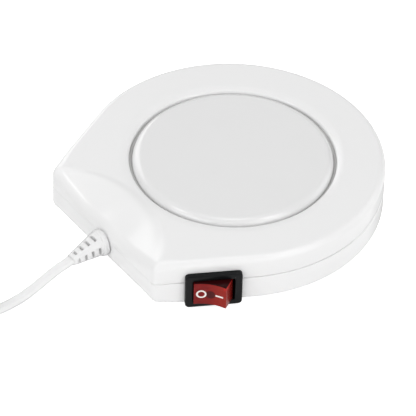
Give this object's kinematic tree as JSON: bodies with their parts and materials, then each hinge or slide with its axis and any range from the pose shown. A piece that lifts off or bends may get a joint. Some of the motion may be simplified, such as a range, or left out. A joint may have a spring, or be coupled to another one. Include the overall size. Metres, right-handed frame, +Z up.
{
  "type": "electric mug warmer",
  "caption": "Low round electric mug warmer with a coated heating plate, a dished cord shoulder, a lit rocker switch in its side and a flat cord with a moulded plug.",
  "frame": {"origin": "under the middle of the body (without cord and strain relief), in the plane that the feet stand on", "axes": "+Z up, -X towards the cord face, -Y on the switch's side"},
  "size_m": [0.2273, 0.1683, 0.022],
  "materials": {
    "white_abs": "moulded white ABS, satin",
    "rubber_foot": "grey rubber, matte",
    "zinc_screw": "zinc-plated steel",
    "coated_plate": "aluminium with a white heat-resistant coating",
    "silicone_seal": "translucent silicone rubber",
    "zinc_steel": "zinc-plated steel sheet",
    "mica": "pressed mica sheet",
    "resistance_ribbon": "oxidised resistance alloy",
    "stat_cap": "drawn aluminium",
    "bimetal": "bimetal sheet",
    "phenolic": "moulded phenolic",
    "brass_terminal": "stamped brass",
    "fuse_metal": "tinned metal case",
    "glass_sleeve": "braided glass-fibre sleeve",
    "black_nylon": "moulded black nylon",
    "red_lens": "red see-through polycarbonate",
    "lamp_glass": "clear glass envelope",
    "resistor": "lacquered film resistor",
    "spring_steel": "spring wire",
    "white_nylon": "natural nylon",
    "tinned_brass": "tinned brass",
    "white_pvc": "moulded flexible PVC",
    "brown_wire": "brown PVC insulation",
    "blue_wire": "blue PVC insulation",
    "red_wire": "red silicone insulation",
    "silicone_wire": "white silicone insulation",
    "white_tie": "white twist tie",
    "nickel_pin": "nickel-plated brass"
  },
  "bodies": {
    "base": {"top_housing": "white_abs", "bottom_housing": "white_abs", "foot_front_left": "rubber_foot", "foot_front_right": "rubber_foot", "foot_back_left": "rubber_foot", "foot_back_right": "rubber_foot", "housing_screws": "zinc_screw", "heating_plate": "coated_plate", "plate_seal": "silicone_seal", "retaining_ring": "zinc_steel", "ring_screws": "zinc_screw", "mica_upper": "mica", "heater_card": "mica", "heater_ribbon": "resistance_ribbon", "mica_lower": "mica", "pressure_plate": "zinc_steel", "heater_nuts": "zinc_screw", "thermostat_cap": "stat_cap", "thermostat_disc": "bimetal", "thermostat_base": "phenolic", "thermostat_bracket": "zinc_steel", "thermostat_screws": "zinc_screw", "thermostat_terminals": "brass_terminal", "thermal_fuse": "fuse_metal", "fuse_sleeve": "glass_sleeve", "fuse_clip": "zinc_steel", "switch_frame": "black_nylon", "terminal_common": "brass_terminal", "terminal_load": "brass_terminal", "terminal_lamp": "brass_terminal", "receptacle_common": "tinned_brass", "receptacle_load": "tinned_brass", "receptacle_lamp": "tinned_brass", "strain_relief": "white_pvc", "cord_tail": "white_pvc", "cord_clamp": "white_nylon", "clamp_screws": "zinc_screw", "wire_live": "brown_wire", "wire_neutral": "blue_wire", "wire_load": "red_wire", "wire_lamp": "blue_wire", "wire_link": "silicone_wire", "splice_cap": "white_nylon", "power_cord": "white_pvc", "cord_coil": "white_pvc", "cord_tie": "white_tie", "plug_lead": "white_pvc", "plug_body": "white_pvc", "plug_pin_live": "nickel_pin", "plug_pin_neutral": "nickel_pin"},
    "rocker_body": {"rocker": "red_lens", "neon_lamp": "lamp_glass", "lamp_resistor": "resistor", "plunger_spring": "spring_steel"},
    "plunger_body": {"plunger": "white_nylon"},
    "bridge_body": {"contact_bridge": "brass_terminal"}
  },
  "joints": [
    {"name": "rocker_hinge", "type": "hinge", "parent": "base", "child": "rocker_body", "pos_m": [-0.0388, -0.04294, 0.0089], "axis": [0, 0, 1], "range_deg": [0, 38]},
    {"name": "plunger_slide", "type": "slide", "parent": "rocker_body", "child": "plunger_body", "axis": [-0.7306, -0.6828, 0], "range_m": [0, 0.0006], "stiffness_N_per_m": 300, "deforming": ["plunger_spring"]},
    {"name": "bridge_rock", "type": "hinge", "parent": "base", "child": "bridge_body", "pos_m": [-0.03489, -0.03556, 0.0089], "axis": [0, 0, 1], "range_deg": [-20.1, 0]}
  ],
  "couplings": [
    {"joint": "bridge_rock", "follows": "rocker_hinge", "ratio": -0.52632}
  ]
}
